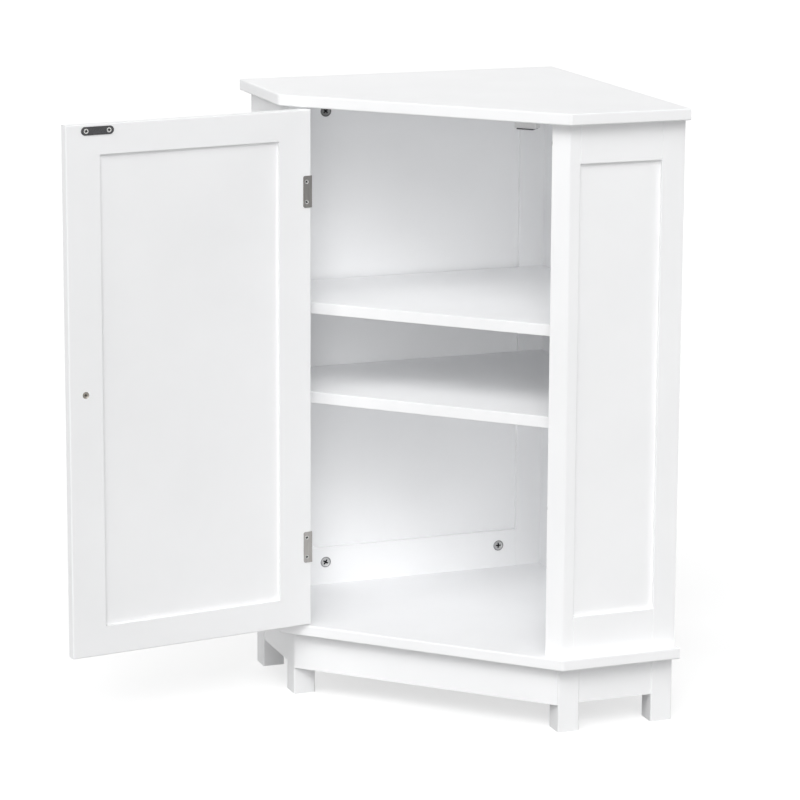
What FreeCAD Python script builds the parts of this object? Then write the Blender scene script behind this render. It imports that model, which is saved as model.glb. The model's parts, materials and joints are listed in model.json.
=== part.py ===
import FreeCAD
import Part
import math
import os

# Corner bathroom cabinet: five-sided carcass on square legs, two shelves and one framed door.
# Millimetres. Origin on the floor at the rear corner where the two walls meet.
# The walls run at 45 degrees behind, the door faces -Y, +X is to the right and +Z is up.

# Overall sizes
HEIGHT = 800.0
WALL = 430.0  # rear corner to the outer face of a side, along a wall
SIDE = 156.0  # depth of a side, square to the wall
BOARD = 15.0  # top, bottom and shelf boards
TOP_OVERHANG = 16.0
BOTTOM_OVERHANG = 17.0
BOARD_EDGE = 2.0  # rounding of the board edges
BOARD_CORNER = 2.5  # bevel of the board corners
ARRIS = 0.5  # bevel that shows the joints of a frame

# Base
BASE = 88.0  # height of the legs
LEG = 29.0
LEG_INSET = 5.0  # leg face behind the side's face
LEG_LEAD = 3.0  # front leg ahead of the side's front corner
LEG_EDGE = 1.2
APRON_T = 15.0
APRON_LIFT = 37.0  # floor to the apron's lower edge
APRON_STEP = 2.0  # apron behind the leg's face

# Side frames
SIDE_T = 17.0
SIDE_STILE = 31.0
SIDE_RAIL = 50.0
SIDE_PANEL_T = 7.0
SIDE_RECESS = 5.0  # panel behind the frame's outer face
GROOVE = 6.0  # depth that a panel enters its frame
STILE_EDGE = 2.5

# Back frames
BACK_T = 15.0
BACK_STILE = 36.0  # width that shows inside
CORNER_STILE = 53.0  # stile of the right back frame, which holds the corner cams
BACK_RAIL = 52.0
BACK_PANEL_T = 5.0
BACK_RECESS = 4.0

# Shelves
LOW_SHELF = 290.5  # bottom board to the lower shelf's underside
HIGH_SHELF = 409.0  # bottom board to the upper shelf's underside
SHELF_SETBACK = 18.0  # shelf edge behind the carcass front
SHELF_EDGE = 1.0
SHELF_PIN_R = 2.5
SHELF_PIN_OUT = 9.0
SHELF_PIN_WALL = 1.0  # left between a pin's bore and the panel in its groove
SHELF_PIN_INSET = 9.0  # pin to the shelf's nearest corner
PIN_CLEARANCE = 0.1

# Screws, bolts, shelf pins and cams repeat, so they have flat sides
FASTENER_SIDES = 12
CAM_SIDES = 24

# Cam connectors
CAM_R = 7.5
CAM_FLOOR = 3.0  # left under a cam's bore in a back frame
CAM_WALL = 7.5  # left between a cam's bore and the panel's groove
CAM_CORNER_INSET = 26.0  # cam to the end of a back rail near the corner
CAM_SIDE_INSET = 46.0  # cam to the end of a back rail near the side
CAM_CORNER_RISE = 85.0  # corner cams from the top and bottom boards
CAM_BOLT_R = 3.0
CAM_BOLT_IN = 9.0

# Door
DOOR_T = 15.0
DOOR_STILE = 45.0
DOOR_RAIL = 38.0
DOOR_PANEL_T = 6.0
DOOR_RECESS = 4.5
DOOR_GAP = 2.0
HINGE_GAP = 2.5
DOOR_EDGE = 1.5
DOOR_OPEN = 127.0  # degrees from shut

# Hinges
HINGE_H = 41.0
HINGE_RISE = 107.0  # hinge centre from the top and bottom boards
HINGE_LEAF_T = 1.0
HINGE_LEAF_W = 11.0
HINGE_FRAME_W = 18.0
HINGE_CORNER = 2.5  # rounding of a leaf's free corners
HINGE_SCREW_INSET = 4.5  # screw to a leaf's free edge
KNUCKLE_R = 2.8
KNUCKLE_GAP = 0.3
HINGE_PIN_R = 1.5
HINGE_PIN_HEAD_R = 2.4
HINGE_PIN_HEAD_T = 0.6
HINGE_RUN = 0.05  # radial clearance round the pin
HINGE_STAND = 0.2  # knuckle clear of the front
SCREW_SPREAD = 26.0
SCREW_HEAD_R = 2.7
SCREW_HEAD_T = 1.0  # depth of the countersunk head
SCREW_R = 1.4
SCREW_L = 10.0
SCREW_CLEARANCE = 0.1

# Knob
KNOB_INSET = 22.0
KNOB_R = 14.0
KNOB_NECK_R = 6.0
KNOB_FOOT_R = 9.0
KNOB_FOOT_T = 2.5
KNOB_NECK_L = 9.0
KNOB_HEAD_T = 12.0
KNOB_EDGE = 1.0  # bevel round the head's end
KNOB_SCREW_R = 2.0
KNOB_SCREW_IN = 9.0
KNOB_SCREW_HEAD_R = 4.5
KNOB_SCREW_HEAD_T = 2.5

# Magnetic catch
STRIKE_INSET = 42.0  # strike centre to the free edge of the door
STRIKE_DROP = 8.2  # strike centre below the door's top
STRIKE_L = 43.5
STRIKE_H = 10.5
STRIKE_T = 1.2
STRIKE_EDGE = 0.4
STRIKE_SCREWS = 30.5
STRIKE_SCREW_HEAD_R = 3.1
CATCH_GAP = 0.4
CATCH_FLANGE_L = 44.0
CATCH_FLANGE_T = 3.0
CATCH_L = 28.0
CATCH_DEPTH = 15.0
CATCH_H = 12.0
MAGNET_L = 22.0
MAGNET_H = 1.5
MAGNET_LEAD = 1.0  # magnet ahead of its housing
CATCH_SCREWS = 36.0

# Derived places
DIAGONAL = math.sqrt(0.5)
FRONT = (WALL - SIDE) / DIAGONAL
Y_FRONT = -(WALL + SIDE) * DIAGONAL
BEVEL = SIDE_T / DIAGONAL
HALF_OPENING = FRONT / 2 - BEVEL
Z_FLOOR = BASE + BOARD
Z_CEILING = HEIGHT - BOARD
DOOR_BOTTOM = Z_FLOOR + DOOR_GAP
DOOR_TOP = Z_CEILING - DOOR_GAP
DOOR_LEFT = -HALF_OPENING + HINGE_GAP
DOOR_RIGHT = HALF_OPENING - DOOR_GAP
DOOR_BACK = Y_FRONT + DOOR_T
PIN_X = -HALF_OPENING + HINGE_GAP / 2
PIN_Y = Y_FRONT - KNUCKLE_R - HINGE_STAND
CAM_T = BACK_T - CAM_FLOOR
CAM_MARGIN = GROOVE + CAM_WALL + CAM_R
NEAR = 0.1  # closer than this is the same place
X_AXIS = FreeCAD.Vector(1, 0, 0)
Z_AXIS = FreeCAD.Vector(0, 0, 1)
HANDS = {"left": -1, "right": 1}


def side_point(hand, along, inward):
    """Plan point on a side: along from its front corner, inward from its outer face."""
    x = FRONT / 2 + (along - inward) * DIAGONAL
    return hand * x, Y_FRONT + (along + inward) * DIAGONAL


def wall_point(hand, along, inward):
    """Plan point on a wall: along from the rear corner, inward from the wall."""
    return hand * (along - inward) * DIAGONAL, -(along + inward) * DIAGONAL


def side_inward(hand):
    return FreeCAD.Vector(-hand * DIAGONAL, DIAGONAL, 0)


def wall_inward(hand):
    return FreeCAD.Vector(-hand * DIAGONAL, -DIAGONAL, 0)


def wall_along(hand):
    return FreeCAD.Vector(hand * DIAGONAL, -DIAGONAL, 0)


def flat(corners):
    """Face inside a closed outline."""
    return Part.Face(Part.makePolygon(corners + corners[:1]))


def prism(points, low, high):
    return flat([FreeCAD.Vector(x, y, low) for x, y in points]).extrude(Z_AXIS * (high - low))


def towards(start, end, distance):
    """Plan point at a distance from one point on the way to another."""
    share = distance / math.dist(start, end)
    return tuple(a + (b - a) * share for a, b in zip(start, end))


def slab(place, hand, along, inward, height, bevel=0.0, arrises=()):
    """Upright block between two distances each way, in the directions of a side or a wall.

    The arrises that are named by their two distances get a bevel.
    """
    corners = [(along[0], inward[0]), (along[1], inward[0]), (along[1], inward[1]), (along[0], inward[1])]
    outline = []
    for before, corner, after in zip(corners[-1:] + corners, corners, corners[1:] + corners[:1]):
        if corner in arrises:
            outline += [towards(corner, before, bevel), towards(corner, after, bevel)]
        else:
            outline.append(corner)
    return prism([place(hand, *spot) for spot in outline], *height)


def block(x, y, z):
    return Part.makeBox(x[1] - x[0], y[1] - y[0], z[1] - z[0], FreeCAD.Vector(x[0], y[0], z[0]))


def rod(start, end, radius):
    line = end - start
    return Part.makeCylinder(radius, line.Length, start, line)


def ring(centre, axis, radius, sides):
    """Corners of a many-sided outline square to an axis."""
    across = axis.cross(Z_AXIS)
    if across.Length < NEAR:
        across = X_AXIS
    up = axis.cross(across)
    turns = [2 * math.pi * side / sides for side in range(sides)]
    return [centre + (across * math.cos(turn) + up * math.sin(turn)) * radius for turn in turns]


def fastener(seat, axis, stations, sides=FASTENER_SIDES):
    """Small fastener, or the hole for one, from distances along an axis and the radius at each."""
    rings = [ring(seat + axis * distance, axis, radius, sides) for distance, radius in stations]
    faces = [flat(rings[0]), flat(rings[-1])]
    for near, far in zip(rings, rings[1:]):
        for side in range(sides):
            faces.append(flat([near[side - 1], near[side], far[side], far[side - 1]]))
    return Part.makeSolid(Part.makeShell(faces))


def point(plan, height):
    return FreeCAD.Vector(plan[0], plan[1], height)


def is_upright(edge):
    return abs(edge.tangentAt(edge.FirstParameter).z) > 1 - NEAR


def rounded(shape, radius, chosen):
    edges = [edge for edge in shape.Edges if chosen(edge, edge.CenterOfMass)]
    return shape.makeFillet(radius, edges)


def bevelled(shape, size, chosen):
    edges = [edge for edge in shape.Edges if chosen(edge, edge.CenterOfMass)]
    return shape.makeChamfer(size, edges)


def pentagon(overhang):
    """Outline of a board flush with both walls, standing proud of the front and the sides."""
    corner = side_point(1, overhang - overhang / DIAGONAL, -overhang)
    rear = side_point(1, SIDE, -overhang)
    middle = (0.0, corner[1])
    right = [towards(corner, middle, BOARD_CORNER), towards(corner, rear, BOARD_CORNER), rear]
    left = [(-x, y) for x, y in reversed(right)]
    return right + [(0.0, 0.0)] + left


def carcass_board(overhang, low):
    """Top or bottom board, rounded along the edges that show."""
    rear_y = side_point(1, SIDE, -overhang)[1]

    def shown_edge(edge, middle):
        return not is_upright(edge) and middle.y < rear_y - NEAR

    return rounded(prism(pentagon(overhang), low, low + BOARD), BOARD_EDGE, shown_edge)


def shelf(low):
    front_corner = side_point(1, SHELF_SETBACK / DIAGONAL - SIDE_T, SIDE_T)
    rear_corner = side_point(1, SIDE - BACK_T, SIDE_T)
    right = [front_corner, rear_corner]
    left = [(-x, y) for x, y in reversed(right)]
    board = prism(right + [wall_point(1, BACK_T, BACK_T)] + left, low, low + BOARD)

    def front_edge(edge, middle):
        return not is_upright(edge) and middle.y < Y_FRONT + SHELF_SETBACK + NEAR

    return rounded(board, SHELF_EDGE, front_edge)


def framed_panel(place, hand, span, stiles, rail, depth, panel_depth, shown):
    """Two rails and a grooved panel between stiles, with the panel as the cutter for the grooves.

    The joints are bevelled on the face that shows.
    """
    inner = (span[0] + stiles[0], span[1] - stiles[1])
    full = (Z_FLOOR, Z_CEILING)
    seams = [(end, shown) for end in inner]
    panel = slab(
        place,
        hand,
        (inner[0] - GROOVE, inner[1] + GROOVE),
        panel_depth,
        (Z_FLOOR + rail - GROOVE, Z_CEILING - rail + GROOVE),
    )
    return {
        "near_stile": slab(place, hand, (span[0], inner[0]), depth, full, ARRIS, seams).cut(panel),
        "far_stile": slab(place, hand, (inner[1], span[1]), depth, full, ARRIS, seams).cut(panel),
        "bottom_rail": slab(place, hand, inner, depth, (Z_FLOOR, Z_FLOOR + rail), ARRIS, seams).cut(panel),
        "top_rail": slab(place, hand, inner, depth, (Z_CEILING - rail, Z_CEILING), ARRIS, seams).cut(panel),
        "panel": panel,
    }


def side_frame(hand):
    """Side of the carcass. Its front stile is bevelled to make the narrow face beside the door."""
    span = (-SIDE_T, SIDE)
    panel_depth = (SIDE_RECESS, SIDE_RECESS + SIDE_PANEL_T)
    frame = framed_panel(
        side_point, hand, span, (SIDE_STILE, SIDE_STILE), SIDE_RAIL, (0, SIDE_T), panel_depth, 0
    )
    waste = [side_point(hand, *p) for p in [(0, 0), (-SIDE_T, SIDE_T), (-2 * SIDE_T, 0)]]
    stile = frame["near_stile"].cut(prism(waste, Z_FLOOR, Z_CEILING))
    arris = point(side_point(hand, 0, 0), 0)

    def front_arris(edge, middle):
        return is_upright(edge) and math.hypot(middle.x - arris.x, middle.y - arris.y) < NEAR

    frame["near_stile"] = rounded(stile, STILE_EDGE, front_arris)
    return frame


def corner_stile(hand):
    """Start and width of a back frame's stile at the corner. The right frame butts against the left one."""
    if hand > 0:
        return BACK_T, CORNER_STILE
    return 0.0, BACK_T + BACK_STILE


def back_frame(hand):
    """Back of the carcass on one wall."""
    start, width = corner_stile(hand)
    span = (start, WALL - SIDE_T)
    panel_depth = (BACK_RECESS, BACK_RECESS + BACK_PANEL_T)
    return framed_panel(
        wall_point, hand, span, (width, BACK_STILE), BACK_RAIL, (0, BACK_T), panel_depth, BACK_T
    )


def leg(place, hand, along, inward):
    """Square post. Only an arris in the corner of the walls stays sharp."""
    ends = (along, along + LEG)
    faces = (inward, inward + LEG)
    arrises = [(end, face) for end in ends for face in faces if (end, face) != (0, 0)]
    return slab(place, hand, ends, faces, (0, BASE), LEG_EDGE, arrises)


def base_parts():
    apron = (APRON_LIFT, BASE)
    end = side_point(1, -LEG_LEAD, LEG_INSET)
    outer = side_point(1, -LEG_INSET, LEG_INSET)
    inner = side_point(1, -LEG_LEAD, APRON_T / DIAGONAL + LEG_LEAD)
    right = [outer, end, inner]
    left = [(-x, y) for x, y in reversed(right)]
    parts = {
        "rear_leg": leg(wall_point, 1, 0, 0),
        "front_apron": prism(right + left, *apron),
    }
    for name, hand in HANDS.items():
        parts[name + "_front_leg"] = leg(side_point, hand, -LEG_LEAD, LEG_INSET)
        parts[name + "_rear_leg"] = leg(side_point, hand, SIDE - LEG, LEG_INSET)
        step = LEG_INSET + APRON_STEP
        parts[name + "_side_apron"] = slab(
            side_point, hand, (LEG - LEG_LEAD, SIDE - LEG), (step, step + APRON_T), apron
        )
        parts[name + "_back_apron"] = slab(
            wall_point,
            hand,
            (LEG, WALL - LEG_INSET - LEG),
            (APRON_STEP, APRON_STEP + APRON_T),
            apron,
        )
    return parts


def shelf_pin_seats(underside):
    """Where the pins under one shelf stand: the stile, the point on its face, the way in and the depth."""
    height = underside - SHELF_PIN_R - PIN_CLEARANCE
    front = SHELF_SETBACK / DIAGONAL - SIDE_T + SHELF_PIN_R + PIN_CLEARANCE + SHELF_EDGE
    rear = SIDE - BACK_T - SHELF_PIN_INSET
    corner = 2 * BACK_T + SHELF_PIN_INSET
    side_depth = SIDE_T - SIDE_RECESS - SIDE_PANEL_T - SHELF_PIN_WALL
    back_depth = BACK_T - BACK_RECESS - BACK_PANEL_T - SHELF_PIN_WALL
    seats = []
    for name, hand in HANDS.items():
        for along, stile in ((front, "_side_near_stile"), (rear, "_side_far_stile")):
            face = point(side_point(hand, along, SIDE_T), height)
            seats.append((name + stile, face, side_inward(hand), side_depth))
        face = point(wall_point(hand, corner, BACK_T), height)
        seats.append((name + "_back_near_stile", face, wall_inward(hand), back_depth))
    return seats


def fit_shelf_pins(parts):
    pins = []
    for underside in (Z_FLOOR + LOW_SHELF, Z_FLOOR + HIGH_SHELF):
        for carrier, face, inside, depth in shelf_pin_seats(underside):
            pins.append(fastener(face, inside, [(-depth, SHELF_PIN_R), (SHELF_PIN_OUT, SHELF_PIN_R)]))
            bore_r = SHELF_PIN_R + PIN_CLEARANCE
            bore = fastener(face, inside, [(-depth, bore_r), (SHELF_PIN_OUT, bore_r)])
            parts[carrier] = parts[carrier].cut(bore)
    parts["shelf_pins"] = Part.makeCompound(pins)


def cam_seats():
    """Cams: the piece that holds one, the piece it pulls, its centre, facing, pull and reach."""
    seats = []
    reach = BACK_RAIL - CAM_MARGIN
    for name, hand in HANDS.items():
        start, width = corner_stile(hand)
        ends = (start + width + CAM_CORNER_INSET, WALL - SIDE_T - BACK_STILE - CAM_SIDE_INSET)
        for along in ends:
            plan = wall_point(hand, along, BACK_T)
            low, high = point(plan, Z_FLOOR + reach), point(plan, Z_CEILING - reach)
            inward = wall_inward(hand)
            seats.append((name + "_back_bottom_rail", "bottom_panel", low, inward, -Z_AXIS, reach))
            seats.append((name + "_back_top_rail", "top_panel", high, inward, Z_AXIS, reach))
    corner_reach = CORNER_STILE - CAM_MARGIN
    for height in (Z_FLOOR + CAM_CORNER_RISE, Z_CEILING - CAM_CORNER_RISE):
        centre = point(wall_point(1, BACK_T + corner_reach, BACK_T), height)
        pieces = ("right_back_near_stile", "left_back_near_stile")
        seats.append((*pieces, centre, wall_inward(1), -wall_along(1), corner_reach))
    return seats


def fit_cams(parts):
    cams = []
    bolts = []
    for holder, pulled, centre, inward, pull, reach in cam_seats():
        root = centre - inward * CAM_T
        middle = centre - inward * (CAM_T / 2)
        bore_r = CAM_R + PIN_CLEARANCE
        bolt_end = reach + CAM_BOLT_IN
        passage_r = CAM_BOLT_R + PIN_CLEARANCE
        cams.append(fastener(root, inward, [(0, CAM_R), (CAM_T, CAM_R)], CAM_SIDES))
        bolts.append(fastener(middle, pull, [(bore_r, CAM_BOLT_R), (bolt_end, CAM_BOLT_R)]))
        bore = fastener(root, inward, [(0, bore_r), (2 * CAM_T, bore_r)], CAM_SIDES)
        passage = fastener(middle, pull, [(0, passage_r), (bolt_end, passage_r)])
        parts[holder] = parts[holder].cut(bore).cut(passage)
        parts[pulled] = parts[pulled].cut(passage)
    parts["cam_locks"] = Part.makeCompound(cams)
    parts["cam_bolts"] = Part.makeCompound(bolts)


def door_frame():
    """Door, shut: two stiles, two rails and a panel that is recessed on both faces."""
    depth = (Y_FRONT, DOOR_BACK)
    height = (DOOR_BOTTOM, DOOR_TOP)
    inner = (DOOR_LEFT + DOOR_STILE, DOOR_RIGHT - DOOR_STILE)
    low, high = DOOR_BOTTOM + DOOR_RAIL, DOOR_TOP - DOOR_RAIL
    panel = block(
        (inner[0] - GROOVE, inner[1] + GROOVE),
        (Y_FRONT + DOOR_RECESS, Y_FRONT + DOOR_RECESS + DOOR_PANEL_T),
        (low - GROOVE, high + GROOVE),
    )
    pieces = {
        "door_hinge_stile": block((DOOR_LEFT, inner[0]), depth, height),
        "door_free_stile": block((inner[1], DOOR_RIGHT), depth, height),
        "door_bottom_rail": block(inner, depth, (DOOR_BOTTOM, low)),
        "door_top_rail": block(inner, depth, (high, DOOR_TOP)),
    }

    def outer_edge(edge, middle):
        ends = [vertex.Point for vertex in edge.Vertexes]

        def lies_at(axis, places):
            return any(all(abs(end[axis] - place) < NEAR for end in ends) for place in places)

        return lies_at(1, depth) and (lies_at(0, (DOOR_LEFT, DOOR_RIGHT)) or lies_at(2, height))

    parts = {name: rounded(piece, DOOR_EDGE, outer_edge).cut(panel) for name, piece in pieces.items()}
    parts["door_panel"] = panel
    return parts


def hinge(middle):
    """One hinge, shut: the door leaf wraps the door's edge and the frame leaf lies behind the stile."""
    low, high = middle - HINGE_H / 2, middle + HINGE_H / 2
    third = HINGE_H / 3
    edge_x = -HALF_OPENING
    thick = HINGE_LEAF_T
    reach = HINGE_FRAME_W * DIAGONAL
    bend = thick * DIAGONAL
    turn = thick * math.tan(math.radians(22.5))
    frame_leaf = prism(
        [
            (edge_x, PIN_Y),
            (edge_x + thick, PIN_Y),
            (edge_x + thick, Y_FRONT + turn),
            (edge_x + bend - reach, Y_FRONT + bend + reach),
            (edge_x - reach, Y_FRONT + reach),
            (edge_x, Y_FRONT),
        ],
        low,
        high,
    )
    door_leaf = prism(
        [
            (DOOR_LEFT - thick, PIN_Y),
            (DOOR_LEFT, PIN_Y),
            (DOOR_LEFT, DOOR_BACK),
            (DOOR_LEFT + HINGE_LEAF_W, DOOR_BACK),
            (DOOR_LEFT + HINGE_LEAF_W, DOOR_BACK + thick),
            (DOOR_LEFT - thick, DOOR_BACK + thick),
        ],
        low,
        high,
    )

    def eased(leaf, x, y):
        """Rounds the two corners of a leaf's free edge, which stands at a plan point."""

        def free_corner(edge, middle):
            return abs(edge.Length - thick) < NEAR and math.hypot(middle.x - x, middle.y - y) < thick

        return rounded(leaf, HINGE_CORNER, free_corner)

    frame_leaf = eased(frame_leaf, edge_x - reach, Y_FRONT + reach)
    door_leaf = eased(door_leaf, DOOR_LEFT + HINGE_LEAF_W, DOOR_BACK)

    def collar(start, end, radius):
        return rod(FreeCAD.Vector(PIN_X, PIN_Y, start), FreeCAD.Vector(PIN_X, PIN_Y, end), radius)

    gap = KNUCKLE_GAP
    clear_r = KNUCKLE_R + HINGE_STAND
    centre = (low + third, high - third)
    frame_leaf = frame_leaf.cut(collar(centre[0] - gap, centre[1] + gap, clear_r))
    for ends in ((low, centre[0] - gap), (centre[1] + gap, high)):
        frame_leaf = frame_leaf.fuse(collar(*ends, KNUCKLE_R))
        door_leaf = door_leaf.cut(collar(ends[0] - gap, ends[1] + gap, clear_r))
    door_leaf = door_leaf.cut(collar(low, high, KNUCKLE_R)).fuse(collar(*centre, KNUCKLE_R))
    bore = collar(low, high, HINGE_PIN_R + HINGE_RUN)
    head = collar(high, high + HINGE_PIN_HEAD_T, HINGE_PIN_HEAD_R)
    pin = collar(low, high, HINGE_PIN_R).fuse(head)
    return frame_leaf.cut(bore).removeSplitter(), door_leaf.cut(bore).removeSplitter(), pin.removeSplitter()


def screw(seat, inward, head, shank_r, length):
    """Countersunk screw, flush with its seat, and the hole for it."""
    head_r, head_t = head
    gap = SCREW_CLEARANCE
    body = fastener(seat, inward, [(0, head_r), (head_t, shank_r), (length, shank_r)])
    entry = [(-head_t, head_r + gap), (0, head_r + gap)]
    hole = fastener(seat, inward, entry + [(head_t, shank_r + gap), (length, shank_r + gap)])
    return body, hole


def fit_screws(parts, seats, inward, holders, head_r=SCREW_HEAD_R):
    screws = []
    for seat in seats:
        body, hole = screw(seat, inward, (head_r, SCREW_HEAD_T), SCREW_R, SCREW_L)
        screws.append(body)
        for name in holders:
            parts[name] = parts[name].cut(hole)
    return screws


def hang_door(parts, door):
    """Two hinges with their screws: four into the carcass stile, four into the door's hinge stile."""
    into_frame = FreeCAD.Vector(-DIAGONAL, -DIAGONAL, 0)
    along_leaf = FreeCAD.Vector(-DIAGONAL, DIAGONAL, 0)
    into_door = FreeCAD.Vector(0, -1, 0)
    corner = FreeCAD.Vector(-HALF_OPENING, Y_FRONT, 0)
    frame_screws = []
    door_screws = []
    pins = []
    for name, middle in (("lower", Z_FLOOR + HINGE_RISE), ("upper", Z_CEILING - HINGE_RISE)):
        frame_leaf, door_leaf, pin = hinge(middle)
        parts[name + "_hinge_frame_leaf"] = frame_leaf
        door[name + "_hinge_door_leaf"] = door_leaf
        pins.append(pin)
        heights = [middle - SCREW_SPREAD / 2, middle + SCREW_SPREAD / 2]
        on_leaf = corner + along_leaf * (HINGE_FRAME_W - HINGE_SCREW_INSET) - into_frame * HINGE_LEAF_T
        frame_seats = [FreeCAD.Vector(on_leaf.x, on_leaf.y, z) for z in heights]
        holders = [name + "_hinge_frame_leaf", "left_side_near_stile"]
        frame_screws += fit_screws(parts, frame_seats, into_frame, holders)
        door_x = DOOR_LEFT + HINGE_LEAF_W - HINGE_SCREW_INSET
        door_seats = [FreeCAD.Vector(door_x, DOOR_BACK + HINGE_LEAF_T, z) for z in heights]
        holders = [name + "_hinge_door_leaf", "door_hinge_stile"]
        door_screws += fit_screws(door, door_seats, into_door, holders)
    parts["hinge_pins"] = Part.makeCompound(pins)
    parts["hinge_frame_screws"] = Part.makeCompound(frame_screws)
    door["hinge_door_screws"] = Part.makeCompound(door_screws)


def fit_knob(door):
    """Turned knob on the outer face, held by one screw through the free stile."""
    x, z = DOOR_RIGHT - KNOB_INSET, (DOOR_BOTTOM + DOOR_TOP) / 2
    outward = FreeCAD.Vector(0, -1, 0)
    neck_end = KNOB_FOOT_T + KNOB_NECK_L
    end = neck_end + KNOB_HEAD_T
    foot = [(0, 0), (KNOB_FOOT_R, 0), (KNOB_FOOT_R, KNOB_FOOT_T)]
    neck = [(KNOB_NECK_R, KNOB_FOOT_T), (KNOB_NECK_R, neck_end)]
    head = [(KNOB_R, neck_end), (KNOB_R, end - KNOB_EDGE), (KNOB_R - KNOB_EDGE, end), (0, end)]
    profile = [FreeCAD.Vector(x + radius, Y_FRONT - out, z) for radius, out in foot + neck + head]
    knob = flat(profile).revolve(FreeCAD.Vector(x, Y_FRONT, z), outward, 360)
    seat = FreeCAD.Vector(x, DOOR_BACK, z)
    screw_head = (KNOB_SCREW_HEAD_R, KNOB_SCREW_HEAD_T)
    door["knob_screw"], hole = screw(seat, outward, screw_head, KNOB_SCREW_R, DOOR_T + KNOB_SCREW_IN)
    door["knob"] = knob.cut(hole)
    door["door_free_stile"] = door["door_free_stile"].cut(hole)


def fit_catch(parts, door):
    """Strike plate on the door's inner face, and a magnet in a screwed housing under the top."""
    middle = DOOR_RIGHT - STRIKE_INSET
    height = DOOR_TOP - STRIKE_DROP
    half = (STRIKE_L - STRIKE_H) / 2
    depth = (DOOR_BACK, DOOR_BACK + STRIKE_T)
    plate = block((middle - half, middle + half), depth, (height - STRIKE_H / 2, height + STRIKE_H / 2))
    for x in (middle - half, middle + half):
        plate = plate.fuse(
            rod(FreeCAD.Vector(x, depth[0], height), FreeCAD.Vector(x, depth[1], height), STRIKE_H / 2)
        )

    def outer_rim(edge, middle):
        return all(abs(vertex.Y - depth[1]) < NEAR for vertex in edge.Vertexes)

    door["strike_plate"] = bevelled(plate.removeSplitter(), STRIKE_EDGE, outer_rim)
    into_door = FreeCAD.Vector(0, -1, 0)
    seats = [FreeCAD.Vector(middle + s * STRIKE_SCREWS / 2, depth[1], height) for s in (-1, 1)]
    holders = ["strike_plate", "door_free_stile", "door_top_rail"]
    screws = fit_screws(door, seats, into_door, holders, STRIKE_SCREW_HEAD_R)
    door["strike_screws"] = Part.makeCompound(screws)

    front = depth[1] + CATCH_GAP
    body_y = (front + MAGNET_LEAD, front + MAGNET_LEAD + CATCH_DEPTH)

    def centred(length, y, z):
        return block((middle - length / 2, middle + length / 2), y, z)

    flange = centred(CATCH_FLANGE_L, body_y, (Z_CEILING - CATCH_FLANGE_T, Z_CEILING))
    housing = centred(CATCH_L, body_y, (Z_CEILING - CATCH_H, Z_CEILING))
    parts["catch_housing"] = flange.fuse(housing).removeSplitter()
    magnet_z = (Z_CEILING - CATCH_H - MAGNET_H, Z_CEILING - CATCH_H)
    parts["catch_magnet"] = centred(MAGNET_L, (front, body_y[1]), magnet_z)
    seat = FreeCAD.Vector(middle, sum(body_y) / 2, Z_CEILING - CATCH_FLANGE_T)
    seats = [seat + X_AXIS * (s * CATCH_SCREWS / 2) for s in (-1, 1)]
    holders = ["catch_housing", "top_panel"]
    parts["catch_screws"] = Part.makeCompound(fit_screws(parts, seats, Z_AXIS, holders))


def build():
    parts = {
        "top_panel": carcass_board(TOP_OVERHANG, Z_CEILING),
        "bottom_panel": carcass_board(BOTTOM_OVERHANG, BASE),
        "lower_shelf": shelf(Z_FLOOR + LOW_SHELF),
        "upper_shelf": shelf(Z_FLOOR + HIGH_SHELF),
    }
    for name, hand in HANDS.items():
        for piece, shape in side_frame(hand).items():
            parts[name + "_side_" + piece] = shape
        for piece, shape in back_frame(hand).items():
            parts[name + "_back_" + piece] = shape
    parts.update(base_parts())
    fit_shelf_pins(parts)
    fit_cams(parts)
    door = door_frame()
    hang_door(parts, door)
    fit_knob(door)
    fit_catch(parts, door)
    for name, shape in door.items():
        parts[name] = shape.rotated(FreeCAD.Vector(PIN_X, PIN_Y, 0), Z_AXIS, -DOOR_OPEN)
    return parts


os.makedirs("parts", exist_ok=True)
for node, shape in build().items():
    shape.exportStep("parts/" + node + ".step")
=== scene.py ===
import json
import math

import bmesh
import bpy
import numpy as np
from mathutils import Matrix, Vector


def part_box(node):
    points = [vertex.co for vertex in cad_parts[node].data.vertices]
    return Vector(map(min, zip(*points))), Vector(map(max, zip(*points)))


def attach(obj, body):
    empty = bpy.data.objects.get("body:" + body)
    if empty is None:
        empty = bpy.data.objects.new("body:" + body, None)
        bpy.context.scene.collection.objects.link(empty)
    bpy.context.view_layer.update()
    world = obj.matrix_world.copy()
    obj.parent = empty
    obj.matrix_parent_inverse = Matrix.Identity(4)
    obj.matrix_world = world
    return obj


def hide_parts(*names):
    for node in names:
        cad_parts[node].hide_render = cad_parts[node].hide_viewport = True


# Corner bathroom cabinet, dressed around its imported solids. Metres, +Z up, the door side faces -Y.
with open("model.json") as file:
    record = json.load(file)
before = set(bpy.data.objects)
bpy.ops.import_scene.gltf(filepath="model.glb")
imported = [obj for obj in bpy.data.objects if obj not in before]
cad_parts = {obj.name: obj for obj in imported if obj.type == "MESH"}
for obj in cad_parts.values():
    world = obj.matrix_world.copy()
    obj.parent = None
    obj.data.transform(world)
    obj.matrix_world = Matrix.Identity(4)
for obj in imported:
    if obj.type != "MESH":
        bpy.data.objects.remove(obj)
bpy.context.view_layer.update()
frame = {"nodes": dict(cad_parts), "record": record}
NODES = frame["nodes"]
MM = 0.001

# Camera: image width, focal length and principal point in pixels, sensor width in millimetres
IMAGE = 800.0
FOCAL = 3307.72
PRINCIPAL = (460.59, 318.21)
SENSOR = 36.0
CAMERA_PLACE = (1.6848, -4.16657, 1.3567)
CAMERA_RIGHT = (0.91589, 0.40135, 0.00835)
CAMERA_UP = (-0.08708, 0.17834, 0.98011)

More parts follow.
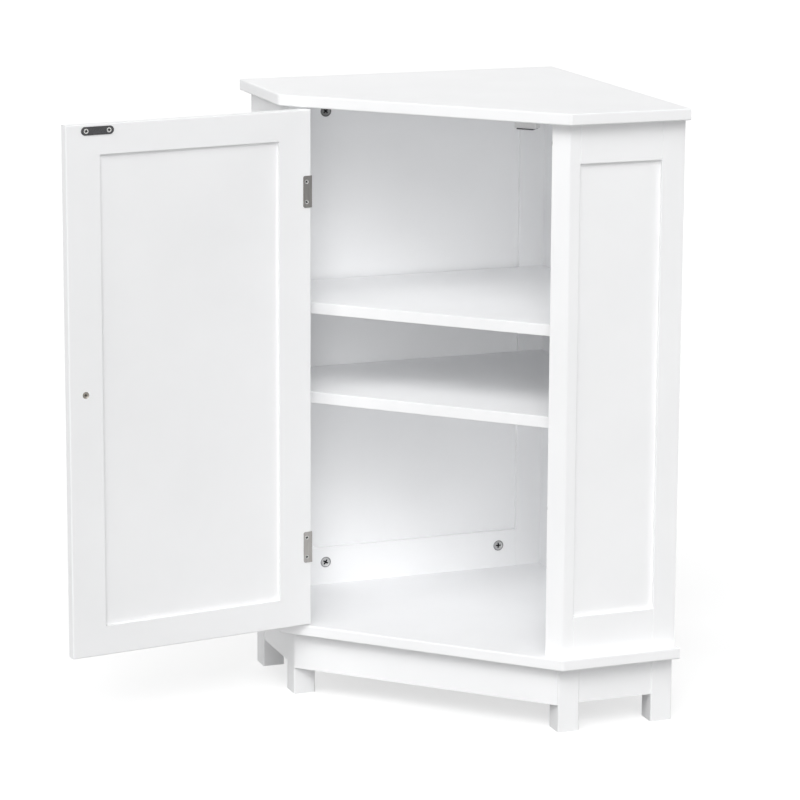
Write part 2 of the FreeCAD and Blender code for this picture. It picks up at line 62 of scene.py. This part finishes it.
# Light: each lamp's azimuth from -Y towards +X, elevation and spread in degrees, and its level
LAMPS = {
    "key": (12.0, 48.0, 30.0, 1.06),
    "front": (22.0, 5.0, 20.0, 0.505),
    "side": (30.0, 30.0, 30.0, 0.785),
    "right": (60.0, 40.0, 30.0, 0.485),
    "fill": (-22.0, 35.0, 25.0, 0.55),
    "left": (-70.0, 20.0, 30.0, 0.72),
    "back_left": (225.0, 22.0, 40.0, 0.70),
    "back_right": (135.0, 22.0, 40.0, 0.82),
}
SKY_LEVEL = 0.05
WHITE = (1.0, 1.0, 1.0, 1.0)
BOUNCES = 10  # light that a white interior passes on

# Floor: a matt grey lights the object, and a white that keeps the shadow is what shows
FLOOR_HALF = 60.0
FLOOR_COLOUR = (0.45, 0.45, 0.45)
FLOOR_ROUGHNESS = 0.9
FLOOR_SHADE = (0.52, 0.52, 0.52)  # the part of the white that takes the shadow
FLOOR_GLOW = 0.62  # the part that doesn't

# Noise of the finishes, over the object's own space
NOISE_MIDDLE = (0.3, 0.7)  # values that are spread over a finish's range
SOFT_DETAIL = 2.0
FINE_DETAIL = 3.0
SHARP_DETAIL = 4.0
EVEN_GRAIN = (1.0, 1.0, 1.0)
UPRIGHT_GRAIN = (1.0, 1.0, 0.08)  # drawn out along Z

# Paint and plastic: linear colours, tones as shares of them, and the cells per metre of their noise
PAINT = (0.915, 0.918, 0.924)
PAINT_TONES = (0.988, 1.012)
PAINT_CLOUDS = 9.0
PAINT_ROUGHNESS = (0.60, 0.72)
PAINT_PATCHES = 60.0
PAINT_SPECULAR = 0.3
PAINT_STIPPLE = 900.0
PAINT_RELIEF = 0.06 * MM
PAINT_BUMP = 0.35
PLASTIC = (0.80, 0.80, 0.80)
PLASTIC_TONES = (0.96, 1.03)
PLASTIC_CLOUDS = 160.0
PLASTIC_ROUGHNESS = (0.35, 0.5)
PLASTIC_PATCHES = 300.0
PLASTIC_STIPPLE = 2500.0
PLASTIC_RELIEF = 0.03 * MM
PLASTIC_BUMP = 0.4

# Metals: the grain is in cells per metre, and a painted height shade gives shares of the colour low down
# and high up: painted shade that makes the upper fittings darker and the lower ones brighter
METAL_TONES = (0.88, 1.12)
METAL_ROUGHNESS = (-0.06, 0.08)  # about each metal's own
METAL_RELIEF = 0.02 * MM
METAL_BUMP = 0.5
PAINTED_SHADE_HEIGHTS = (0.20, 0.70)  # metres over the floor, between which the painted shade goes from its low share to its high one
METALS = {
    "hinge_nickel": {
        "colour": (0.298, 0.289, 0.278),
        "roughness": 0.34,
        "grain": 700.0,
        "stretch": UPRIGHT_GRAIN,
        # painted shade: the upper hinge darker and the lower one brighter, as shade and reflections fall on
        # them
        "painted_height_shade": (1.30, 0.72),
    },
    "knob_nickel": {"colour": (0.52, 0.50, 0.47), "roughness": 0.30, "grain": 1500.0, "relief": 0.002 * MM},
    "screw_steel": {"colour": (0.55, 0.55, 0.54), "roughness": 0.30, "grain": 900.0},
    # painted shade: the upper cams darker, where they lie in shade under the top board
    "cam_zinc": {"colour": (0.46, 0.46, 0.46), "roughness": 0.42, "grain": 800.0, "painted_height_shade": (1.15, 0.45)},
    "bronze": {"colour": (0.28, 0.262, 0.235), "roughness": 0.36, "grain": 900.0},
}

# Dark coatings on steel, and the near-black painted shade of slots and grooves
COATING_METALLIC = 0.6
COATING_TONES = (0.7, 1.4)
COATING_ROUGHNESS = (-0.05, 0.1)  # about each coating's own
COATING_SPECKS = 1200.0  # cells per metre
COATING_RELIEF = 0.03 * MM
COATING_BUMP = 0.5
COATINGS = {
    "dark_steel": {"colour": (0.064, 0.064, 0.067), "roughness": 0.4},
    # painted shade: near black, for the slots of screws and cams and the shaded grooves of the cams
    "painted_recess_shade": {"colour": (0.012, 0.012, 0.013), "roughness": 0.6},
}

# Turned and pressed hardware, in millimetres. A profile runs from the middle outwards, as radius and
# height over the face that shows; a cross slot is half an arm's width, its reach and its depth.
SLOT_ARMS = 4
ARM_STEPS = 4  # steps along each stretch of a slot's arm
SLOT_FLOOR = 0.45  # size of a slot's floor against its mouth
SCREW_SLOT = (0.62, 1.75, 1.6)
SCREW_PROFILE = ((1.95, -0.25), (2.3, -0.08), (2.55, 0.0), (2.7, -0.12), (1.4, -1.3), (1.4, -10.0))
STRIKE_SCREW_SLOT = (0.75, 1.95, 1.6)
STRIKE_SCREW_PROFILE = ((2.1, -0.20), (2.6, 0.05), (2.9, 0.10), (3.1, -0.05), (1.4, -1.3), (1.4, -10.0))
KNOB_SCREW_SLOT = (0.45, 1.9, 1.6)
KNOB_SCREW_PROFILE = (
    (2.6, -0.55), (3.1, -0.50), (3.5, -0.15), (4.0, 0.0), (4.5, -0.2), (2.0, -2.5), (2.0, -24.0),
)
CAM_SLOT = (1.0, 3.7, 3.6)
CAM_PROFILE = (
    (4.3, -0.9), (5.3, -0.75), (5.9, -0.45), (6.3, -0.5), (6.6, -0.9), (6.8, -0.15), (7.1, 0.0),
    (7.4, -0.05), (7.5, -0.3), (7.5, -12.0),
)
CAM_PAINTED_SHADE_BANDS = (5, 6)  # bands of a cam painted near black as shade, counted from the walls of its slot
CAM_FACES = (0.0, -1.0, 0.0)
KNOB_PROFILE = (
    (5.0, 0.0), (9.0, -2.0), (12.4, -5.0), (13.9, -8.6), (13.0, -10.6), (9.0, -11.8), (6.2, -13.6),
    (5.5, -17.0), (6.4, -20.6), (8.4, -21.4), (9.0, -22.2), (9.0, -23.5),
)
KNOB_SIDES = 48
SMOOTH_STEPS = 6
CREASE = 32.0  # degrees above which an edge stays sharp
SCREW_TURN = 1.3  # radians that each screw of a group is turned on from the last
WELD = 0.001 * MM
TINY = 1e-6


def new_material(name):
    material = bpy.data.materials.new(name)
    material.use_nodes = True
    tree = material.node_tree
    tree.nodes.clear()
    shader = tree.nodes.new("ShaderNodeBsdfPrincipled")
    output = tree.nodes.new("ShaderNodeOutputMaterial")
    tree.links.new(shader.outputs["BSDF"], output.inputs["Surface"])
    return material, tree, shader


def noise(tree, scale, detail=SOFT_DETAIL, stretch=EVEN_GRAIN):
    """Noise over the object's own space, where scale is in cells per metre."""
    place = tree.nodes.new("ShaderNodeTexCoord")
    mapping = tree.nodes.new("ShaderNodeMapping")
    mapping.inputs["Scale"].default_value = stretch
    texture = tree.nodes.new("ShaderNodeTexNoise")
    texture.inputs["Scale"].default_value = scale
    texture.inputs["Detail"].default_value = detail
    tree.links.new(place.outputs["Object"], mapping.inputs["Vector"])
    tree.links.new(mapping.outputs["Vector"], texture.inputs["Vector"])
    return texture.outputs["Fac"]


def map_range(tree, factor, source, target):
    """Maps one range of values to another."""
    mapped = tree.nodes.new("ShaderNodeMapRange")
    for key, value in zip(("From Min", "From Max", "To Min", "To Max"), (*source, *target)):
        mapped.inputs[key].default_value = value
    tree.links.new(factor, mapped.inputs["Value"])
    return mapped.outputs["Result"]


def tint(tree, factor, colour, tones):
    """Colour that varies in brightness between two shares of its written value."""
    ramp = tree.nodes.new("ShaderNodeValToRGB")
    for element, place, share in zip(ramp.color_ramp.elements, NOISE_MIDDLE, tones):
        element.position = place
        element.color = (*[share * c for c in colour], 1.0)
    tree.links.new(factor, ramp.inputs["Fac"])
    return ramp.outputs["Color"]


def paint_shade_by_height(tree, colour, painted_height_shade):
    """Painted shade: colour that is brighter low down on the object and darker high up, where the fittings
    lie in shade.
    """
    place = tree.nodes.new("ShaderNodeTexCoord")
    parts = tree.nodes.new("ShaderNodeSeparateXYZ")
    scaled = tree.nodes.new("ShaderNodeVectorMath")
    scaled.operation = "SCALE"
    tree.links.new(place.outputs["Object"], parts.inputs["Vector"])
    tree.links.new(colour, scaled.inputs["Vector"])
    tree.links.new(map_range(tree, parts.outputs["Z"], PAINTED_SHADE_HEIGHTS, painted_height_shade), scaled.inputs["Scale"])
    return scaled.outputs["Vector"]


def bump(tree, shader, height, depth, strength):
    node = tree.nodes.new("ShaderNodeBump")
    node.inputs["Distance"].default_value = depth
    node.inputs["Strength"].default_value = strength
    tree.links.new(height, node.inputs["Height"])
    tree.links.new(node.outputs["Normal"], shader.inputs["Normal"])


def paint_material():
    """Satin sprayed paint: faint cloudiness, a fine stipple and uneven gloss."""
    material, tree, shader = new_material("white_paint")
    clouds = noise(tree, PAINT_CLOUDS, FINE_DETAIL)
    patches = noise(tree, PAINT_PATCHES)
    tree.links.new(tint(tree, clouds, PAINT, PAINT_TONES), shader.inputs["Base Color"])
    tree.links.new(map_range(tree, patches, NOISE_MIDDLE, PAINT_ROUGHNESS), shader.inputs["Roughness"])
    bump(tree, shader, noise(tree, PAINT_STIPPLE, FINE_DETAIL), PAINT_RELIEF, PAINT_BUMP)
    shader.inputs["Specular IOR Level"].default_value = PAINT_SPECULAR
    return material


def plastic_material():
    """Moulded plastic with a very fine stipple."""
    material, tree, shader = new_material("white_plastic")
    clouds = noise(tree, PLASTIC_CLOUDS)
    patches = noise(tree, PLASTIC_PATCHES)
    tree.links.new(tint(tree, clouds, PLASTIC, PLASTIC_TONES), shader.inputs["Base Color"])
    tree.links.new(map_range(tree, patches, NOISE_MIDDLE, PLASTIC_ROUGHNESS), shader.inputs["Roughness"])
    bump(tree, shader, noise(tree, PLASTIC_STIPPLE), PLASTIC_RELIEF, PLASTIC_BUMP)
    return material


def metal_material(name, colour, roughness, grain, stretch=EVEN_GRAIN, painted_height_shade=None, relief=METAL_RELIEF):
    """Plated metal with a fine grain in its colour, gloss and surface, and a painted shade by height where
    one is given.
    """
    material, tree, shader = new_material(name)
    shader.inputs["Metallic"].default_value = 1.0
    lines = noise(tree, grain, SHARP_DETAIL, stretch)
    grained = tint(tree, lines, colour, METAL_TONES)
    # painted shade: the colour darkened high up and brightened low down
    if painted_height_shade:
        grained = paint_shade_by_height(tree, grained, painted_height_shade)
    uneven = [roughness + change for change in METAL_ROUGHNESS]
    tree.links.new(grained, shader.inputs["Base Color"])
    tree.links.new(map_range(tree, lines, NOISE_MIDDLE, uneven), shader.inputs["Roughness"])
    bump(tree, shader, lines, relief, METAL_BUMP)
    return material


def coated_material(name, colour, roughness):
    """Dark coating on steel with a fine speckle; it also makes the near-black painted shade of slots and
    grooves.
    """
    material, tree, shader = new_material(name)
    shader.inputs["Metallic"].default_value = COATING_METALLIC
    specks = noise(tree, COATING_SPECKS, FINE_DETAIL)
    uneven = [roughness + change for change in COATING_ROUGHNESS]
    tree.links.new(tint(tree, specks, colour, COATING_TONES), shader.inputs["Base Color"])
    tree.links.new(map_range(tree, specks, NOISE_MIDDLE, uneven), shader.inputs["Roughness"])
    bump(tree, shader, specks, COATING_RELIEF, COATING_BUMP)
    return material


MATERIALS = {"white_paint": paint_material(), "white_plastic": plastic_material()}
for metal, finish in METALS.items():
    MATERIALS[metal] = metal_material(metal, **finish)
for coating, finish in COATINGS.items():
    MATERIALS[coating] = coated_material(coating, **finish)


def separate_solids(node):
    """Corner points of each solid in a node, as arrays."""
    mesh = bmesh.new()
    mesh.from_mesh(NODES[node].data)
    bmesh.ops.remove_doubles(mesh, verts=mesh.verts, dist=WELD)
    seen = set()
    solids = []
    for start in mesh.verts:
        if start in seen:
            continue
        seen.add(start)
        waiting = [start]
        points = []
        while waiting:
            vert = waiting.pop()
            points.append(tuple(vert.co))
            linked = [edge.other_vert(vert) for edge in vert.link_edges]
            fresh = [other for other in linked if other not in seen]
            seen.update(fresh)
            waiting.extend(fresh)
        solids.append(np.array(points))
    mesh.free()
    return solids


def axis_of(points):
    """Middle of a turned solid and the direction of its axis, which is the odd one of its spreads."""
    middle = points.mean(axis=0)
    values, directions = np.linalg.eigh(np.cov((points - middle).T))
    odd = 0 if values[1] - values[0] > values[2] - values[1] else 2
    return middle, directions[:, odd]


def seat_of(points, faces=None):
    """Matrix of the face that shows: its origin in the middle, +Z out of the solid.

    The face looks the way that is given, or else it is the wider end.
    """
    middle, axis = axis_of(points)
    along = (points - middle) @ axis
    if faces is None:
        radii = np.linalg.norm(points - middle - np.outer(along, axis), axis=1)
        sign = np.sign(along[np.argmax(radii)])
    else:
        sign = np.sign(axis @ np.array(faces))
    out = Vector(axis * sign)
    place = Vector(middle) + out * float(np.max(along * sign))
    side = Vector((0.0, 0.0, 1.0)).cross(out)
    if side.length < TINY:
        side = Vector((1.0, 0.0, 0.0))
    side.normalize()
    turn = Matrix((side, out.cross(side), out)).transposed()
    return Matrix.Translation(place) @ turn.to_4x4()


def slot_turns(slot):
    """Angles round a cross slot, with its corners among them."""
    half_width, reach, _ = slot
    tip = math.atan2(half_width, reach)
    half_arm = math.pi / SLOT_ARMS
    stretches = ((-half_arm, -tip), (-tip, tip), (tip, half_arm))
    return [
        arm * 2 * half_arm + low + (high - low) * step / ARM_STEPS
        for arm in range(SLOT_ARMS)
        for low, high in stretches
        for step in range(ARM_STEPS)
    ]


def slot_radius(slot, turn):
    """Distance from the middle of a cross slot to its outline."""
    half_width, reach, _ = slot
    half_arm = math.pi / SLOT_ARMS
    off = abs((turn + half_arm) % (2 * half_arm) - half_arm)
    return min(reach / math.cos(off), half_width / max(math.sin(off), TINY))


def circle(turns, radius, height):
    return [(radius * math.cos(turn), radius * math.sin(turn), height) for turn in turns]


def lathe(mesh, rings, place):
    """Skin over rings of points, closed at both ends by a point in the middle.

    Returns the faces of each band between two rings, and those of the first end.
    """
    verts = [[mesh.verts.new(place @ (Vector(point) * MM)) for point in ring] for ring in rings]
    bands = [
        [mesh.faces.new((first[i - 1], second[i - 1], second[i], first[i])) for i in range(len(first))]
        for first, second in zip(verts, verts[1:])
    ]
    ends = []
    for ring, points in ((verts[0], rings[0]), (verts[-1], rings[-1])):
        middle = mesh.verts.new(place @ Vector((0.0, 0.0, points[0][2] * MM)))
        ends.append([mesh.faces.new((ring[i - 1], ring[i], middle)) for i in range(len(ring))])
    return bands, ends[0]


def slotted(mesh, slot, profile, place, painted_shade_bands=()):
    """Head with a cross slot; the faces in the slot and the painted shade bands take the second material, a
    near-black painted shade.
    """
    turns = slot_turns(slot)
    top = profile[0][1]
    depth = slot[2]
    outline = [slot_radius(slot, turn) for turn in turns]
    mouth = [(r * math.cos(t), r * math.sin(t), top) for r, t in zip(outline, turns)]
    bottom = [(x * SLOT_FLOOR, y * SLOT_FLOOR, top - depth) for x, y, _ in mouth]
    rings = [bottom, mouth] + [circle(turns, radius, height) for radius, height in profile]
    bands, slot_floor = lathe(mesh, rings, place)
    slot_walls = bands[0]
    # painted shade: the slot's floor and walls and the given bands are made near black where shade falls
    for faces in (slot_floor, slot_walls, *[bands[band] for band in painted_shade_bands]):
        for face in faces:
            face.material_index = 1


def smooth_profile(points):
    """More points on a smooth curve through the points of a profile."""
    curve = []
    ends = [points[0]] + list(points) + [points[-1]]
    for before, start, end, after in zip(ends, ends[1:], ends[2:], ends[3:]):
        for step in range(SMOOTH_STEPS):
            t = step / SMOOTH_STEPS
            weights = (
                -0.5 * t + t * t - 0.5 * t ** 3,
                1.0 - 2.5 * t * t + 1.5 * t ** 3,
                0.5 * t + 2.0 * t * t - 1.5 * t ** 3,
                -0.5 * t * t + 0.5 * t ** 3,
            )
            near = (before, start, end, after)
            curve.append(tuple(sum(w * p[i] for w, p in zip(weights, near)) for i in range(2)))
    return curve + [points[-1]]


def piece(name, mesh, materials, body, node):
    """Turns a built mesh into a piece that stands for a node."""
    bmesh.ops.recalc_face_normals(mesh, faces=mesh.faces)
    data = bpy.data.meshes.new(name)
    for face in mesh.faces:
        face.smooth = True
    mesh.to_mesh(data)
    mesh.free()
    data.set_sharp_from_angle(angle=math.radians(CREASE))
    for material in materials:
        data.materials.append(MATERIALS[material])
    holder = bpy.data.objects.new(name, data)
    bpy.context.scene.collection.objects.link(holder)
    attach(holder, body)
    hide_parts(node)


def screws(name, node, body, slot, profile, material="screw_steel"):
    """Cross-slotted screws in the places of a node's solids, each turned a little further."""
    mesh = bmesh.new()
    for index, points in enumerate(separate_solids(node)):
        turn = Matrix.Rotation(index * SCREW_TURN, 4, "Z")
        slotted(mesh, slot, profile, seat_of(points) @ turn)
    piece(name, mesh, (material, "painted_recess_shade"), body, node)


def cams():
    """Cam connectors with a dished face; they look into the cabinet from the two back frames."""
    mesh = bmesh.new()
    for index, points in enumerate(separate_solids("cam_locks")):
        turn = Matrix.Rotation(index * SCREW_TURN, 4, "Z")
        slotted(mesh, CAM_SLOT, CAM_PROFILE, seat_of(points, CAM_FACES) @ turn, CAM_PAINTED_SHADE_BANDS)
    piece("cam_discs", mesh, ("cam_zinc", "painted_recess_shade"), "carcass", "cam_locks")


def knob():
    """Turned knob with a domed face, away from the door's panel."""
    points = separate_solids("knob")[0]
    low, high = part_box("door_panel")
    away = points.mean(axis=0) - (np.array(low) + np.array(high)) / 2
    mesh = bmesh.new()
    turns = [2 * math.pi * step / KNOB_SIDES for step in range(KNOB_SIDES)]
    rings = [circle(turns, radius, height) for radius, height in smooth_profile(KNOB_PROFILE)]
    lathe(mesh, rings, seat_of(points, away))
    piece("turned_knob", mesh, ("knob_nickel",), "door", "knob")


def dress(nodes):
    """Gives each solid the finish that the record names for it."""
    for part in frame["record"]["subparts"]:
        mesh = nodes[part["node"]].data
        mesh.materials.clear()
        mesh.materials.append(MATERIALS[part["material_slot"]])


def camera():
    data = bpy.data.cameras.new("camera")
    data.sensor_width = SENSOR
    data.lens = FOCAL / IMAGE * SENSOR
    data.shift_x = (IMAGE / 2 - PRINCIPAL[0]) / IMAGE
    data.shift_y = (PRINCIPAL[1] - IMAGE / 2) / IMAGE
    right, up = Vector(CAMERA_RIGHT), Vector(CAMERA_UP)
    turn = Matrix((right, up, right.cross(up))).transposed()
    holder = bpy.data.objects.new("camera", data)
    holder.matrix_world = Matrix.Translation(CAMERA_PLACE) @ turn.to_4x4()
    bpy.context.scene.collection.objects.link(holder)
    bpy.context.scene.camera = holder


def seen_directly(tree):
    """1 for what the camera sees, straight or in a gloss or glass, and 0 for what only lights."""
    path = tree.nodes.new("ShaderNodeLightPath")
    total = path.outputs["Is Camera Ray"]
    for kind in ("Is Glossy Ray", "Is Transmission Ray"):
        either = tree.nodes.new("ShaderNodeMath")
        either.operation = "MAXIMUM"
        tree.links.new(total, either.inputs[0])
        tree.links.new(path.outputs[kind], either.inputs[1])
        total = either.outputs["Value"]
    return total


def sky():
    """World that is white to look at and lights the object faintly."""
    world = bpy.data.worlds.new("studio")
    world.use_nodes = True
    tree = world.node_tree
    tree.nodes.clear()
    light = tree.nodes.new("ShaderNodeBackground")
    light.inputs["Color"].default_value = WHITE
    light.inputs["Strength"].default_value = SKY_LEVEL
    backdrop = tree.nodes.new("ShaderNodeBackground")
    backdrop.inputs["Color"].default_value = WHITE
    mix = tree.nodes.new("ShaderNodeMixShader")
    output = tree.nodes.new("ShaderNodeOutputWorld")
    tree.links.new(seen_directly(tree), mix.inputs["Fac"])
    tree.links.new(light.outputs["Background"], mix.inputs[1])
    tree.links.new(backdrop.outputs["Background"], mix.inputs[2])
    tree.links.new(mix.outputs["Shader"], output.inputs["Surface"])
    bpy.context.scene.world = world


def lamp(name, azimuth, elevation, spread, level):
    data = bpy.data.lights.new(name, "SUN")
    data.energy = level
    data.angle = math.radians(spread)
    turn, rise = math.radians(azimuth), math.radians(elevation)
    back = Vector((math.sin(turn) * math.cos(rise), -math.cos(turn) * math.cos(rise), math.sin(rise)))
    holder = bpy.data.objects.new(name, data)
    holder.rotation_mode = "QUATERNION"
    holder.rotation_quaternion = back.to_track_quat("Z", "Y")
    bpy.context.scene.collection.objects.link(holder)


def floor_material():
    """White with the object's shadow where it is seen, and a plain matt grey where it only lights."""
    material, tree, grey = new_material("floor")
    grey.inputs["Base Color"].default_value = (*FLOOR_COLOUR, 1.0)
    grey.inputs["Roughness"].default_value = FLOOR_ROUGHNESS
    grey.inputs["Specular IOR Level"].default_value = 0.0
    glow = tree.nodes.new("ShaderNodeEmission")
    glow.inputs["Strength"].default_value = FLOOR_GLOW
    shade = tree.nodes.new("ShaderNodeBsdfDiffuse")
    shade.inputs["Color"].default_value = (*FLOOR_SHADE, 1.0)
    both = tree.nodes.new("ShaderNodeAddShader")
    mix = tree.nodes.new("ShaderNodeMixShader")
    output = next(node for node in tree.nodes if node.type == "OUTPUT_MATERIAL")
    tree.links.new(glow.outputs["Emission"], both.inputs[0])
    tree.links.new(shade.outputs["BSDF"], both.inputs[1])
    tree.links.new(seen_directly(tree), mix.inputs["Fac"])
    tree.links.new(grey.outputs["BSDF"], mix.inputs[1])
    tree.links.new(both.outputs["Shader"], mix.inputs[2])
    tree.links.new(mix.outputs["Shader"], output.inputs["Surface"])
    return material


def floor():
    mesh = bpy.data.meshes.new("floor")
    corners = [(x * FLOOR_HALF, y * FLOOR_HALF, 0.0) for x, y in ((-1, -1), (1, -1), (1, 1), (-1, 1))]
    mesh.from_pydata(corners, [], [(0, 1, 2, 3)])
    mesh.materials.append(floor_material())
    holder = bpy.data.objects.new("floor", mesh)
    bpy.context.scene.collection.objects.link(holder)


bpy.context.scene.view_settings.view_transform = "Standard"
bpy.context.scene.cycles.diffuse_bounces = BOUNCES
camera()
sky()
for lamp_name, lamp_setting in LAMPS.items():
    lamp(lamp_name, *lamp_setting)
floor()
dress(NODES)
screws("hinge_screws_door", "hinge_door_screws", "door", SCREW_SLOT, SCREW_PROFILE)
screws("hinge_screws_frame", "hinge_frame_screws", "carcass", SCREW_SLOT, SCREW_PROFILE)
screws("catch_screw_heads", "catch_screws", "carcass", SCREW_SLOT, SCREW_PROFILE)
screws("strike_eyelets", "strike_screws", "door", STRIKE_SCREW_SLOT, STRIKE_SCREW_PROFILE)
screws("knob_bolt", "knob_screw", "door", KNOB_SCREW_SLOT, KNOB_SCREW_PROFILE, "bronze")
cams()
knob()
